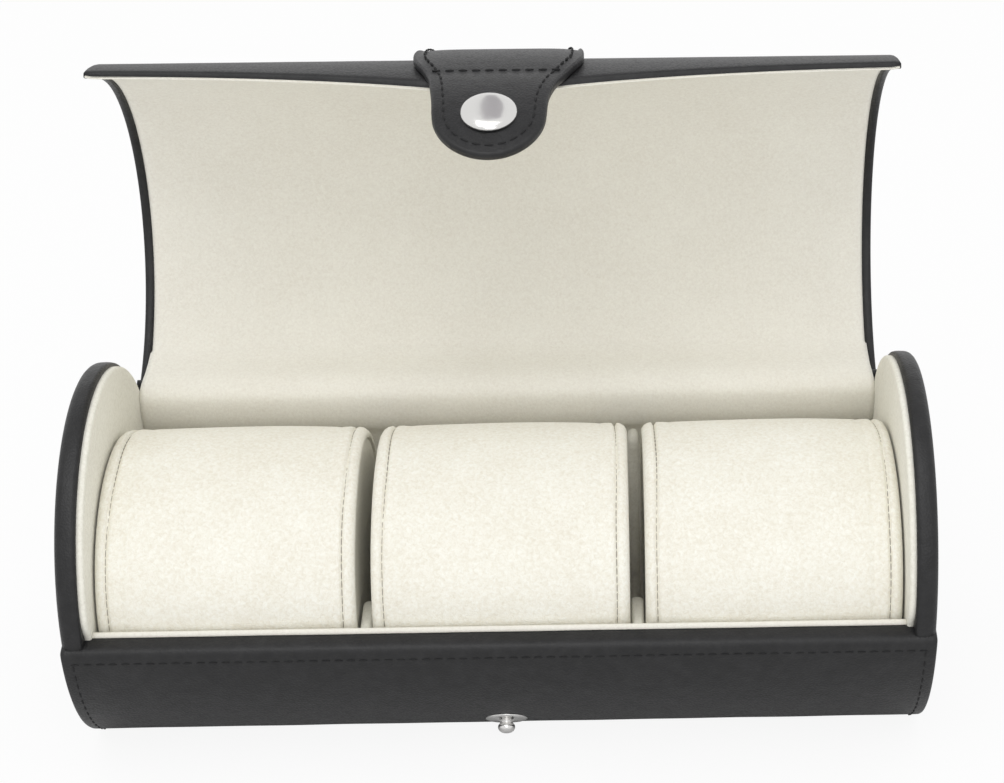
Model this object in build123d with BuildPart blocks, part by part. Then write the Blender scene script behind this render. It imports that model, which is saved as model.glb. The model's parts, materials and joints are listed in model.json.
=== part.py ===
from build123d import *
import os
from math import asin, atan2, cos, degrees, radians, sin, sqrt

os.makedirs("parts", exist_ok=True)

# Watch travel case: a barrel-shaped roll case with round ends, a wrap-over lid on a
# fabric-grooved hinge, a snap strap and three watch pillows.
# Millimetres. +X to the case's right, -Y to its front, +Z up. The origin is the
# centre of the flat underside. Profiles are drawn round the barrel's axis.

# ---- case body ----
case_length = 195.0        # over the leather of both round ends
end_radius = 43.0          # leather rim of a round end
leather = 0.9              # covering leather
base_board_thickness = 3.7
base_lining_thickness = 1.3
flat_cut = 5.5             # depth of round cut off by the flat underside
rim_wrap = 2.7             # base leather lapped over each end rim
ledge_rise = 1.0           # inner edge of the front ledge above its fold
lip_rise = 0.7             # lining standing above the front ledge

# ---- round ends ----
end_board_thickness = 3.1
end_lining_thickness = 1.5
end_turn_in = 6.0          # leather turned over onto the inner face
end_lining_margin = 1.0    # lining disc inside the leather rim
end_edge_radius = 1.4

# ---- hinge ----
hinge_inset = 2.9          # crease line in from the tray's outer leather
hinge_angle = 30.0         # crease line above the rear horizontal
open_angle = 105.0
crease_bead = 1.5          # radius of the rolled leather at the crease
hinge_gap = 5.5            # crease line to the lid's rear end
running_gap = 0.3          # between leather faces that move past each other

# ---- lid ----
lid_setback = 5.0          # each end of the lid in from the end of the case
lid_lining_thickness = 0.9
lid_board_thickness = 1.6
lid_turn_in = 2.2          # leather edge round the lining
corner_lap = 8.0           # degrees the lid laps below the ledge at its corners
front_bow = 8.7            # how far the middle of the front edge hangs lower
bow_sag = 1.4              # hollow of each half of the front edge

# ---- strap and snap ----
strap_thickness = 2.4
strap_half_width = 13.9    # at the lid's front edge
shoulder_half_width = 19.2
root_end_half_width = 16.8
flare_hollow = 0.9         # how little the strap has widened by mid-flare
shoulder_height = 11.0     # shoulders above the barrel axis, lid closed
root_height = 18.3         # end of the sewn part above the axis, lid closed
strap_tip_radius = 12.4
snap_angle = 221.0         # snap position round the barrel
tip_beyond_snap = 12.0     # snap centre to strap tip
tab_lift = 9.5             # degrees the unsnapped strap springs off the wall
knuckle_offset = 0.9       # strap flex line past the lid edge
cap_diameter = 12.5
cap_height = 1.8
socket_diameter = 9.6
socket_bore = 5.0
socket_mouth = 4.5
socket_chamfer = 0.6
spring_wire = 0.5
stud_flange = 9.7
stud_flange_thickness = 0.8
stud_neck = 3.0
stud_head = 4.0
stud_head_height = 2.3
stud_neck_height = 0.7
post_diameter = 2.8
washer_diameter = 8.0
washer_thickness = 0.6

# ---- pillows and dividers ----
pillow_count = 3
pillow_gap = 3.4
pillow_end_gap = 0.4
pillow_slack = 5.0         # pillow's half depth, front to back, under the trough's radius
pillow_flatness = 3.3      # how much lower than deep each half is
pillow_side_round = 5.0    # side arcs' radius under the half depth
pillow_forward = 4.2
pillow_lift = 0.4          # clear of the floor lining
wrap_thickness = 1.6
pillow_band = 2.4          # seam in from each side
seam_depth = 0.5
crown_fall = 0.5           # sleeve's fall from its middle to the seams
side_draw = 1.3            # how much smaller the sides are than the crown
side_panel_inset = 0.8
divider_width = 2.6
divider_height = 3.0

# ---- sizes that follow ----
flat_depth = end_radius - flat_cut   # barrel axis down to the flat underside
cover_radius = end_radius + leather
board_inner_radius = end_radius - base_board_thickness
trough_radius = board_inner_radius - base_lining_thickness
wall_thickness = cover_radius - trough_radius
half_length = case_length / 2
end_thickness = 2 * leather + end_board_thickness
end_inner_x = half_length - end_thickness
tray_half = end_inner_x - end_lining_thickness
hinge_radius = cover_radius - hinge_inset
lid_length = case_length - 2 * lid_setback
pillow_gaps = (pillow_count - 1) * pillow_gap + 2 * pillow_end_gap
pillow_width = (2 * tray_half - pillow_gaps) / pillow_count
pillow_half_depth = trough_radius - pillow_slack
pillow_half_height = pillow_half_depth - pillow_flatness
pillow_side_radius = pillow_half_depth - pillow_side_round
lid_inner_radius = cover_radius + running_gap
lid_board_radius = lid_inner_radius + lid_lining_thickness
lid_leather_radius = lid_board_radius + lid_board_thickness
lid_radius = lid_leather_radius + leather
corner_drop = lid_radius * sin(radians(corner_lap))
edge_drop = corner_drop + front_bow
strap_radius = lid_radius + strap_thickness / 2
strap_outer_radius = lid_radius + strap_thickness
stud_seat = cover_radius - (stud_flange / 2) ** 2 / (2 * cover_radius)
reach = 2 * cover_radius   # longer than any cut needs to be

barrel = Plane(origin=(0, 0, flat_depth), x_dir=(0, 1, 0), z_dir=(1, 0, 0))


def polar(radius, angle):
    """A point round the barrel axis, the angle in degrees from the rear."""
    return radius * cos(radians(angle)), radius * sin(radians(angle))


hinge_y, hinge_z = polar(hinge_radius, hinge_angle)


def swung(plane_point, angle, pivot):
    """A profile point turned about a pivot, the angle in degrees."""
    y, z = plane_point[0] - pivot[0], plane_point[1] - pivot[1]
    c, s = cos(radians(angle)), sin(radians(angle))
    return pivot[0] + c * y - s * z, pivot[1] + s * y + c * z


# The lid is drawn as it lies when closed, on a plane swung open about the crease.
lid_y, lid_z = swung((0, 0), -open_angle, (hinge_y, hinge_z))
lid_right = Vector(0, cos(radians(open_angle)), -sin(radians(open_angle)))
lid_up = Vector(0, sin(radians(open_angle)), cos(radians(open_angle)))
lid_origin = Vector(0, lid_y, lid_z + flat_depth)
lid_plane = Plane(origin=lid_origin, x_dir=lid_right, z_dir=(1, 0, 0))
lid_front = Plane(origin=lid_origin, x_dir=(1, 0, 0), z_dir=-lid_right)

# The strap's free end is drawn snapped down, then lifted about its flex line.
edge_angle = 180 + degrees(asin(edge_drop / lid_radius))
flex_angle = edge_angle + degrees(knuckle_offset / lid_radius)
flex_y, flex_z = polar(strap_radius, flex_angle)
tab_local = swung((0, 0), -tab_lift, (flex_y, flex_z))
tab_turn = open_angle + tab_lift
tab_right = Vector(0, cos(radians(tab_turn)), -sin(radians(tab_turn)))
tab_up = Vector(0, sin(radians(tab_turn)), cos(radians(tab_turn)))
tab_origin = lid_origin + lid_right * tab_local[0] + lid_up * tab_local[1]
tab_plane = Plane(origin=tab_origin, x_dir=tab_right, z_dir=(1, 0, 0))
snap_y, snap_z = polar(1, snap_angle)
tab_snap_dir = tab_right * snap_y + tab_up * snap_z
tab_snap = Plane(origin=tab_origin, x_dir=(1, 0, 0), z_dir=tab_snap_dir)
wall_snap = Plane(
    origin=(0, 0, flat_depth), x_dir=(1, 0, 0), z_dir=(0, snap_y, snap_z)
)


def ring_sector(inner, outer, start, end, mode=Mode.ADD):
    """A curved wall's section, between two radii and two angles."""
    with BuildLine() as outline:
        rim = CenterArc((0, 0), outer, start, end - start)
        bore = CenterArc((0, 0), inner, start, end - start)
        Line(bore @ 0, rim @ 0)
        Line(bore @ 1, rim @ 1)
    make_face(outline.edges(), mode=mode)


def flat_disc(radius, flat, mode=Mode.ADD):
    """A disc cut off level below its centre."""
    rise = sqrt(radius**2 - flat**2)
    with BuildLine() as outline:
        side = degrees(asin(flat / radius))
        CenterArc((0, 0), radius, -side, 180 + 2 * side)
        Line((rise, -flat), (-rise, -flat))
    make_face(outline.edges(), mode=mode)


def mouth(drop=0.0, rear_angle=hinge_angle):
    """Cuts the trough's open top: a sloping front ledge and the rear wall's end."""
    slope = ledge_rise / wall_thickness
    front = -cover_radius - reach
    inner = -trough_radius / 2
    with BuildLine() as outline:
        Polyline(
            (0, 0),
            polar(reach, rear_angle),
            (reach, reach),
            (front, reach),
            (front, (front + cover_radius) * slope - drop),
            (inner, (inner + cover_radius) * slope - drop),
            close=True,
        )
    make_face(outline.edges(), mode=Mode.SUBTRACT)


# ---- tray: leather, board, lining, dividers ----
board_flat = flat_depth - leather
lining_flat = board_flat - base_board_thickness
floor_flat = lining_flat - base_lining_thickness
strip_turn = degrees(leather / hinge_radius)
wall_end = hinge_angle - degrees(leather * 0.8 / hinge_radius)

with BuildPart() as base_lining:
    with BuildSketch(barrel):
        flat_disc(board_inner_radius, lining_flat)
        flat_disc(trough_radius, floor_flat, Mode.SUBTRACT)
        mouth(-lip_rise, wall_end - strip_turn)
    extrude(amount=tray_half, both=True)
base_lining.part.label = "base_lining"

with BuildPart() as base_board:
    with BuildSketch(barrel):
        flat_disc(end_radius, board_flat)
        flat_disc(board_inner_radius, lining_flat, Mode.SUBTRACT)
        mouth(leather, wall_end - strip_turn)
    extrude(amount=tray_half, both=True)
    with BuildSketch(wall_snap.offset(board_inner_radius - leather)):
        Circle(washer_diameter / 2)
    extrude(amount=washer_thickness + leather, mode=Mode.SUBTRACT)
    with BuildSketch(wall_snap):
        Circle(post_diameter / 2)
    extrude(amount=reach, mode=Mode.SUBTRACT)
base_board.part.label = "base_board"

with BuildPart() as base_cover:
    with BuildSketch(barrel):
        flat_disc(cover_radius, flat_depth)
        flat_disc(end_radius, board_flat, Mode.SUBTRACT)
        mouth(0, wall_end - strip_turn)
    extrude(amount=end_inner_x + rim_wrap, both=True)
    with BuildSketch(barrel) as ledge:
        flat_disc(end_radius, board_flat)
        flat_disc(board_inner_radius, lining_flat, Mode.SUBTRACT)
        mouth()
        with Locations((0, -reach / 2 - leather)):
            Rectangle(2 * reach, reach, mode=Mode.SUBTRACT)
        with Locations((reach / 2, 0)):
            Rectangle(reach, 2 * reach, mode=Mode.SUBTRACT)
    extrude(amount=tray_half, both=True)
    add(base_board.part, mode=Mode.SUBTRACT)
    with BuildSketch(wall_snap.offset(stud_seat)):
        Circle(stud_flange / 2)
    extrude(amount=leather, mode=Mode.SUBTRACT)
    with BuildSketch(wall_snap):
        Circle(post_diameter / 2)
    extrude(amount=reach, mode=Mode.SUBTRACT)
base_cover.part.label = "base_cover"

divider_x = (pillow_width + pillow_gap) / 2
for side, name in ((-1, "divider_left"), (1, "divider_right")):
    with BuildPart() as divider:
        with BuildSketch(barrel.offset(side * divider_x)):
            flat_disc(trough_radius, floor_flat)
            flat_disc(
                trough_radius - divider_height,
                floor_flat - divider_height,
                Mode.SUBTRACT,
            )
            mouth(divider_height / 2, hinge_angle / 2)
        extrude(amount=divider_width / 2, both=True)
        crest = divider.edges().filter_by(GeomType.CIRCLE).sort_by(SortBy.RADIUS)[:2]
        chamfer(crest, divider_width / 4)
    divider.part.label = name
    export_step(divider.part, f"parts/{name}.step")

# ---- round ends ----
for side, name in ((-1, "left"), (1, "right")):
    with BuildPart() as end_board:
        with BuildSketch(barrel.offset(side * (half_length - leather))):
            flat_disc(end_radius - leather, board_flat - leather)
        extrude(amount=-side * end_board_thickness)
    end_board.part.label = f"end_board_{name}"

    with BuildPart() as end_cover:
        with BuildSketch(barrel.offset(side * half_length)):
            flat_disc(end_radius, board_flat)
        extrude(amount=-side * end_thickness)
        outer_face = end_cover.faces().sort_by(Axis.X)[0 if side < 0 else -1]
        fillet(outer_face.edges(), end_edge_radius)
        add(end_board.part, mode=Mode.SUBTRACT)
        with BuildSketch(barrel.offset(side * end_inner_x)):
            Circle(end_radius - end_turn_in)
            with Locations((0, -reach / 2 - board_flat + end_turn_in)):
                Rectangle(2 * reach, reach, mode=Mode.SUBTRACT)
        extrude(amount=side * leather, mode=Mode.SUBTRACT)
    end_cover.part.label = f"end_cover_{name}"

    with BuildPart() as end_lining:
        with BuildSketch(barrel.offset(side * end_inner_x)):
            flat_disc(end_radius - end_lining_margin, board_flat - end_lining_margin)
        extrude(amount=-side * end_lining_thickness)
    end_lining.part.label = f"end_lining_{name}"

    for piece in (end_board, end_cover, end_lining):
        export_step(piece.part, f"parts/{piece.part.label}.step")

# ---- hinge: rolled crease on the tray, leaf on the lid ----
with BuildPart() as hinge_strip:
    with BuildSketch(barrel):
        ring_sector(trough_radius, cover_radius, wall_end - strip_turn, wall_end)
        with Locations((hinge_y, hinge_z)):
            Circle(crease_bead)
    extrude(amount=tray_half, both=True)
hinge_strip.part.label = "hinge_strip"


def from_crease(along, out):
    """A point given from the crease line, along the lid's curve and outwards."""
    c, s = cos(radians(hinge_angle)), sin(radians(hinge_angle))
    return hinge_y + out * c - along * s, hinge_z + out * s + along * c


leaf_start = crease_bead + running_gap
leaf_inner = -crease_bead
leaf_top = leaf_inner + leather + 0.2
leaf_outer = lid_radius - hinge_radius

with BuildPart() as hinge_leaf:
    with BuildSketch(lid_plane):
        with BuildLine():
            Polyline(
                from_crease(leaf_start, leaf_inner),
                from_crease(hinge_gap, leaf_inner),
                from_crease(hinge_gap, leaf_outer),
                from_crease(hinge_gap - leather, leaf_outer),
                from_crease(hinge_gap - leather, leaf_top),
                from_crease(leaf_start, leaf_top),
                close=True,
            )
        make_face()
    extrude(amount=lid_length / 2 - lid_turn_in, both=True)
hinge_leaf.part.label = "hinge_leaf"


# ---- lid: board, lining, leather ----
def lid_section(inner, outer, inset):
    """The lid's curved section, its rear end square to the crease."""
    ring_sector(inner, outer, hinge_angle, 180 + 3 * corner_lap)
    with BuildLine() as outline:
        Polyline(
            from_crease(-reach, -reach),
            from_crease(-reach, reach),
            from_crease(hinge_gap + inset, reach),
            from_crease(hinge_gap + inset, -reach),
            close=True,
        )
    make_face(outline.edges(), mode=Mode.SUBTRACT)


def below_front_edge(inset):
    """What lies under the lid's bowed front edge, to be cut away."""
    half = lid_length / 2
    corner, middle = -corner_drop + inset, -edge_drop + inset
    halfway = (half + strap_half_width) / 2
    with BuildLine() as outline:
        Line((-reach - half, corner), (-half, corner))
        hollow = (corner + middle) / 2 + bow_sag
        ThreePointArc((-half, corner), (-halfway, hollow), (-strap_half_width, middle))
        Line((-strap_half_width, middle), (strap_half_width, middle))
        ThreePointArc((strap_half_width, middle), (halfway, hollow), (half, corner))
        Line((half, corner), (reach + half, corner))
        Line((reach + half, corner), (reach + half, -reach))
        Line((reach + half, -reach), (-reach - half, -reach))
        Line((-reach - half, -reach), (-reach - half, corner))
    make_face(outline.edges())


with BuildPart() as lid_board:
    with BuildSketch(lid_plane):
        lid_section(lid_board_radius, lid_leather_radius, leather)
    extrude(amount=lid_length / 2 - leather, both=True)
    with BuildSketch(lid_front):
        below_front_edge(leather)
    extrude(amount=reach, mode=Mode.SUBTRACT)
lid_board.part.label = "lid_board"

with BuildPart() as lid_lining:
    with BuildSketch(lid_plane):
        lid_section(lid_inner_radius, lid_board_radius, lid_turn_in)
    extrude(amount=lid_length / 2 - lid_turn_in, both=True)
    with BuildSketch(lid_front):
        below_front_edge(lid_turn_in)
    extrude(amount=reach, mode=Mode.SUBTRACT)
lid_lining.part.label = "lid_lining"

with BuildPart() as lid_cover:
    with BuildSketch(lid_plane):
        lid_section(lid_inner_radius, lid_radius, 0)
    extrude(amount=lid_length / 2, both=True)
    with BuildSketch(lid_front):
        below_front_edge(0)
    extrude(amount=reach, mode=Mode.SUBTRACT)
    add(lid_board.part, mode=Mode.SUBTRACT)
    add(lid_lining.part, mode=Mode.SUBTRACT)
lid_cover.part.label = "lid_cover"

# ---- strap: sewn root on the lid, free tab ----
knuckle_gap = strap_thickness / 2 + running_gap

with BuildPart() as strap_root:
    with BuildSketch(lid_plane):
        ring_sector(lid_radius, strap_outer_radius, 120, flex_angle)
        with Locations((flex_y, flex_z)):
            Circle(knuckle_gap, mode=Mode.SUBTRACT)
    extrude(amount=shoulder_half_width, both=True)
    with BuildSketch(lid_front):
        with BuildLine():
            Polyline(
                (shoulder_half_width, shoulder_height),
                (root_end_half_width, root_height),
                (0, root_height),
                (0, -reach),
                (strap_half_width, -reach),
                (strap_half_width, -edge_drop),
            )
            ThreePointArc(
                (strap_half_width, -edge_drop),
                (strap_half_width + flare_hollow, -edge_drop / 10),
                (shoulder_half_width, shoulder_height),
            )
        make_face()
        mirror(about=Plane.YZ)
    extrude(amount=reach, mode=Mode.INTERSECT)
strap_root.part.label = "strap_root"

tab_end = snap_angle + degrees(asin(tip_beyond_snap / strap_radius)) + 1
tab_root = strap_radius * sin(radians(snap_angle - flex_angle)) + knuckle_gap


def tab_profile(inner, outer):
    """One leather of the strap's free end, rounded at its flex line."""
    ring_sector(lid_radius, strap_outer_radius, flex_angle, tab_end)
    with Locations((flex_y, flex_z)):
        Circle(strap_thickness / 2)
    ring_sector(inner, outer, flex_angle - 10, tab_end, Mode.INTERSECT)


def tab_outline():
    """The strap's free end seen square on, its tip at -Y."""
    tip_centre = strap_tip_radius - tip_beyond_snap
    with BuildLine() as outline:
        ThreePointArc(
            (-strap_tip_radius, tip_centre),
            (0, -tip_beyond_snap),
            (strap_tip_radius, tip_centre),
        )
        Polyline(
            (strap_tip_radius, tip_centre),
            (strap_half_width, tab_root),
            (-strap_half_width, tab_root),
            (-strap_tip_radius, tip_centre),
        )
    make_face(outline.edges())


cap_seat = strap_outer_radius - (cap_diameter / 2) ** 2 / (2 * strap_outer_radius)
flange_top = stud_seat + stud_flange_thickness
head_base = flange_top + stud_neck_height
head_top = head_base + stud_head_height
socket_base = flange_top + running_gap
socket_top = lid_radius + running_gap
socket_roof = socket_top - running_gap

with BuildPart() as strap_face:
    with BuildSketch(tab_plane):
        tab_profile(strap_radius, strap_outer_radius)
    extrude(amount=strap_half_width, both=True)
    with BuildSketch(tab_snap):
        tab_outline()
    extrude(amount=reach, mode=Mode.INTERSECT)
    with BuildSketch(tab_snap.offset(cap_seat)):
        Circle(cap_diameter / 2)
    extrude(amount=strap_thickness, mode=Mode.SUBTRACT)
    with BuildSketch(tab_snap):
        Circle(post_diameter / 2)
    extrude(amount=reach, mode=Mode.SUBTRACT)
strap_face.part.label = "strap_face"

with BuildPart() as strap_back:
    with BuildSketch(tab_plane):
        tab_profile(lid_radius, strap_radius)
    extrude(amount=strap_half_width, both=True)
    with BuildSketch(tab_snap):
        tab_outline()
    extrude(amount=reach, mode=Mode.INTERSECT)
    with BuildSketch(tab_snap):
        Circle(socket_diameter / 2)
    extrude(amount=socket_top, mode=Mode.SUBTRACT)
    with BuildSketch(tab_snap):
        Circle(post_diameter / 2)
    extrude(amount=reach, mode=Mode.SUBTRACT)
strap_back.part.label = "strap_back"

# ---- snap: cap, socket and spring on the strap, stud and washer in the wall ----
across = Vector(1, 0, 0)
tab_axis = Axis(tab_origin, tab_snap_dir)
wall_axis = Axis(wall_snap.origin, wall_snap.z_dir)
tab_turned = Plane(
    origin=tab_origin, x_dir=across, z_dir=across.cross(tab_snap_dir)
)
wall_turned = Plane(
    origin=wall_snap.origin, x_dir=across, z_dir=across.cross(wall_snap.z_dir)
)

with BuildPart() as snap_cap:
    with BuildSketch(tab_turned):
        with BuildLine():
            rim = cap_diameter / 2
            crown = strap_outer_radius + cap_height
            skirt = crown - 0.7 * cap_height
            dome = (rim**2 + (crown - skirt) ** 2) / (crown - skirt) / 2
            halfway = crown - dome + sqrt(dome**2 - rim**2 / 4)
            Polyline(
                (0, crown), (0, socket_top), (post_diameter / 2, socket_top),
                (post_diameter / 2, cap_seat), (rim, cap_seat), (rim, skirt),
            )
            ThreePointArc((rim, skirt), (rim / 2, halfway), (0, crown))
        make_face()
    revolve(axis=tab_axis)
snap_cap.part.label = "snap_cap"

with BuildPart() as snap_socket:
    with BuildSketch(tab_snap.offset(socket_base)):
        Circle(socket_diameter / 2)
    extrude(amount=socket_top - socket_base)
    chamfer(snap_socket.edges().group_by(tab_axis)[0], socket_chamfer)
    with BuildSketch(tab_snap.offset(socket_base)):
        Circle(socket_mouth / 2)
    extrude(amount=running_gap, mode=Mode.SUBTRACT)
    with BuildSketch(tab_snap.offset(socket_base + running_gap)):
        Circle(socket_bore / 2)
    extrude(amount=socket_roof - socket_base - running_gap, mode=Mode.SUBTRACT)
snap_socket.part.label = "snap_socket"

spring_radius = (socket_bore - spring_wire) / 2 - 0.05
with BuildPart() as snap_spring:
    with BuildSketch(tab_turned):
        with Locations((spring_radius, socket_base + running_gap + spring_wire / 2)):
            RegularPolygon(spring_wire / 2, 8)
    revolve(axis=tab_axis, revolution_arc=320)
snap_spring.part.label = "snap_spring"

with BuildPart() as snap_stud:
    with BuildSketch(wall_turned):
        with BuildLine():
            flange, neck, head = stud_flange / 2, stud_neck / 2, stud_head / 2
            centre = head_top - head
            Polyline(
                (0, head_top), (0, board_inner_radius),
                (post_diameter / 2, board_inner_radius),
                (post_diameter / 2, stud_seat), (flange, stud_seat),
                (flange, stud_seat + stud_flange_thickness / 3),
                (neck, flange_top), (neck, head_base), (head, centre),
            )
            diagonal = head * sin(radians(45))
            ThreePointArc((head, centre), (diagonal, centre + diagonal), (0, head_top))
        make_face()
    revolve(axis=wall_axis)
snap_stud.part.label = "snap_stud"

with BuildPart() as stud_washer:
    with BuildSketch(wall_snap.offset(board_inner_radius)):
        Circle(washer_diameter / 2)
        Circle(post_diameter / 2, mode=Mode.SUBTRACT)
    extrude(amount=washer_thickness)
stud_washer.part.label = "stud_washer"

# ---- pillows: foam core, sewn sleeve, two side panels each ----
pillow_pitch = pillow_width + pillow_gap
pillow_rise = pillow_half_height + pillow_lift - floor_flat
side_centre = pillow_half_depth - pillow_side_radius
crown_radius = (
    (side_centre**2 + pillow_half_height**2 - pillow_side_radius**2)
    / (pillow_half_height - pillow_side_radius) / 2
)
crown_centre = crown_radius - pillow_half_height
turn = degrees(atan2(crown_centre, side_centre))
core_shrink = wrap_thickness + seam_depth
seam_x = pillow_width / 2 - pillow_band


def pillow_oval(x, shrink):
    """A pillow's section at a place across the case: two side arcs, two crown arcs."""
    side_arc = pillow_side_radius - shrink
    crown_arc = crown_radius - shrink
    front = -pillow_forward - side_centre
    rear = side_centre - pillow_forward
    upper = pillow_rise - crown_centre
    lower = pillow_rise + crown_centre
    with BuildSketch(barrel.offset(x)) as oval:
        with BuildLine():
            CenterArc((rear, pillow_rise), side_arc, -turn, 2 * turn)
            CenterArc((-pillow_forward, upper), crown_arc, turn, 180 - 2 * turn)
            CenterArc((front, pillow_rise), side_arc, 180 - turn, 2 * turn)
            CenterArc((-pillow_forward, lower), crown_arc, 180 + turn, 180 - 2 * turn)
        make_face()
    return oval.sketch


sleeve_steps = (
    (0, 0.0),
    (seam_x - 8 * seam_depth, crown_fall / 2),
    (seam_x - seam_depth, crown_fall),
    (seam_x, crown_fall + seam_depth),
    (seam_x + seam_depth, crown_fall),
    (pillow_width / 2, side_draw),
)

for place, name in enumerate(("left", "middle", "right")):
    middle_x = (place - 1) * pillow_pitch
    panel_x = pillow_width / 2 - side_panel_inset

    with BuildPart() as core:
        extrude(pillow_oval(middle_x, core_shrink), panel_x - wrap_thickness, both=True)
    core.part.label = f"pillow_{name}_core"

    with BuildPart() as sleeve:
        left_half = [pillow_oval(middle_x - x, s) for x, s in sleeve_steps[:0:-1]]
        right_half = [pillow_oval(middle_x + x, s) for x, s in sleeve_steps]
        loft(left_half + right_half, ruled=True)
        bore = pillow_oval(middle_x, core_shrink)
        extrude(bore, pillow_width, both=True, mode=Mode.SUBTRACT)
    sleeve.part.label = f"pillow_{name}_sleeve"

    with BuildPart() as panels:
        extrude(pillow_oval(middle_x - panel_x, core_shrink), wrap_thickness)
        extrude(pillow_oval(middle_x + panel_x, core_shrink), -wrap_thickness)
    panels.part.label = f"pillow_{name}_panels"

    for piece in (core, sleeve, panels):
        export_step(piece.part, f"parts/{piece.part.label}.step")

for piece in (
    base_lining, base_board, base_cover, hinge_strip, snap_stud, stud_washer,
    lid_board, lid_lining, lid_cover, hinge_leaf, strap_root,
    strap_face, strap_back, snap_cap, snap_socket, snap_spring,
):
    export_step(piece.part, f"parts/{piece.part.label}.step")
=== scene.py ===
import bpy, bmesh, json, math
from mathutils import Matrix, Vector


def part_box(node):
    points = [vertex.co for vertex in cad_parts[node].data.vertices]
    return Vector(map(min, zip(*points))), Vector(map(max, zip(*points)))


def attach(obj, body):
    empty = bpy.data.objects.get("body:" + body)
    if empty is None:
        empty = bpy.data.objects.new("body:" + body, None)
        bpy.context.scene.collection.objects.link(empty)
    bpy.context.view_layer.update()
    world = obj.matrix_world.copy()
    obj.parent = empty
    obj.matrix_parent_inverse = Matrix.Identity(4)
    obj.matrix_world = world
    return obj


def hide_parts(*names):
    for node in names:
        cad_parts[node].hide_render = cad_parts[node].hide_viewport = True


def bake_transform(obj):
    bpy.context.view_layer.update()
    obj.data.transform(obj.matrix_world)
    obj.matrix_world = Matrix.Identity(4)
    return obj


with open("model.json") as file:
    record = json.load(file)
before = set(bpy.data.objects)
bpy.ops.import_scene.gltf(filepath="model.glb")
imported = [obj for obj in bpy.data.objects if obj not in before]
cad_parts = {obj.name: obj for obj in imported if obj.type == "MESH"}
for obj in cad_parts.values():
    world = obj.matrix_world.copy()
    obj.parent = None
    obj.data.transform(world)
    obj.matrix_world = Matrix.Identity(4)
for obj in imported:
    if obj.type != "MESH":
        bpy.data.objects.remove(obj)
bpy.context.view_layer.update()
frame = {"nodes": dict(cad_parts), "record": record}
nodes = frame["nodes"]
joints = {joint["name"]: joint for joint in frame["record"]["behaviour"]["joints"]}
print("frame loaded:", len(nodes), "nodes")

mm = 0.001

# The barrel and its hinge line, read from the frame. Profiles are (y, z) in mm from the
# barrel's axis. Angles are in degrees from the rear, 90 up and 180 at the front.
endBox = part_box("end_cover_left")
hingeSpot = joints["lid_hinge"]["pos_m"]
case = {
    "endRadius": endBox[1].y / mm,
    "coverRadius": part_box("base_cover")[1].y / mm,
    "axisHeight": (endBox[1].z - endBox[1].y) / mm,
    "halfLength": -endBox[0].x / mm,
    "trayHalf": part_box("base_lining")[1].x / mm,
    "endInner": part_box("end_cover_right")[0].x / mm,
    "openAngle": -joints["lid_hinge"]["range_deg"][0],
    "tabLift": -joints["strap_flex"]["range_deg"][0],
    "wall": 5.9,        # leather, board and velour of the tray
    "endLap": 0.1,      # the tray's leather reaches this far past the round ends
}
case["hinge"] = (hingeSpot[1] / mm, hingeSpot[2] / mm - case["axisHeight"])
case["reach"] = case["halfLength"] + case["endLap"]
case["troughRadius"] = case["coverRadius"] - case["wall"]
case["floor"] = case["axisHeight"] - case["wall"]
case["foot"] = math.sqrt(case["troughRadius"] ** 2 - case["floor"] ** 2)
case["footAngle"] = math.degrees(math.asin(case["floor"] / case["troughRadius"]))


def polar(radius, angle):
    return (radius * math.cos(math.radians(angle)), radius * math.sin(math.radians(angle)))


def offset(point, normal, away):
    return (point[0] + normal[0] * away, point[1] + normal[1] * away)


def turned(point, angle, pivot):
    c, s = polar(1, angle)
    y, z = point[0] - pivot[0], point[1] - pivot[1]
    return (pivot[0] + c * y - s * z, pivot[1] + s * y + c * z)


def opened(point):
    # Where a point of the closed lid is when the lid stands open.
    return turned(point, -case["openAngle"], case["hinge"])


def place(x, point):
    # A profile point at x across the case, in metres from the frame's origin.
    return Vector((x * mm, point[0] * mm, (point[1] + case["axisHeight"]) * mm))


def spread(low, high, count):
    return [low + (high - low) * i / (count - 1) for i in range(count)]


def easeStep(t):
    t = min(max(t, 0), 1)
    return t * t * (3 - 2 * t)


def bell(x, width):
    return math.exp(-(x / width) ** 2)


def arc(radius, start, end, steps):
    return [polar(radius, angle) for angle in spread(start, end, steps + 1)]


def quarter(size, turns):
    # A rounded edge as (in from the side, down from the face).
    return [(size * (1 - math.sin(math.radians(t))), size * (1 - math.cos(math.radians(t))))
            for t in turns]


def smoothPath(points, spacing):
    # Catmull-Rom through the points, at roughly the given spacing.
    path = []
    for i in range(len(points) - 1):
        a, b = points[max(i - 1, 0)], points[i]
        c, d = points[i + 1], points[min(i + 2, len(points) - 1)]
        steps = max(1, round(math.dist(b, c) / spacing))
        for k in range(steps):
            t = k / steps
            path.append(tuple(
                0.5 * (2 * q + (r - p) * t + (2 * p - 5 * q + 4 * r - s) * t * t
                       + (3 * q - p - 3 * r + s) * t ** 3)
                for p, q, r, s in zip(a, b, c, d)))
    path.append(tuple(points[-1]))
    return path


def evenPath(points, spacing):
    lengths = [0.0]
    for a, b in zip(points, points[1:]):
        lengths.append(lengths[-1] + math.dist(a, b))
    count = max(2, round(lengths[-1] / spacing))
    spots, k = [], 0
    for i in range(count + 1):
        want = lengths[-1] * i / count
        while k < len(lengths) - 2 and lengths[k + 1] < want:
            k += 1
        span = max(lengths[k + 1] - lengths[k], 1e-9)
        t = (want - lengths[k]) / span
        spots.append(tuple(p + (q - p) * t for p, q in zip(points[k], points[k + 1])))
    return spots


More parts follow.
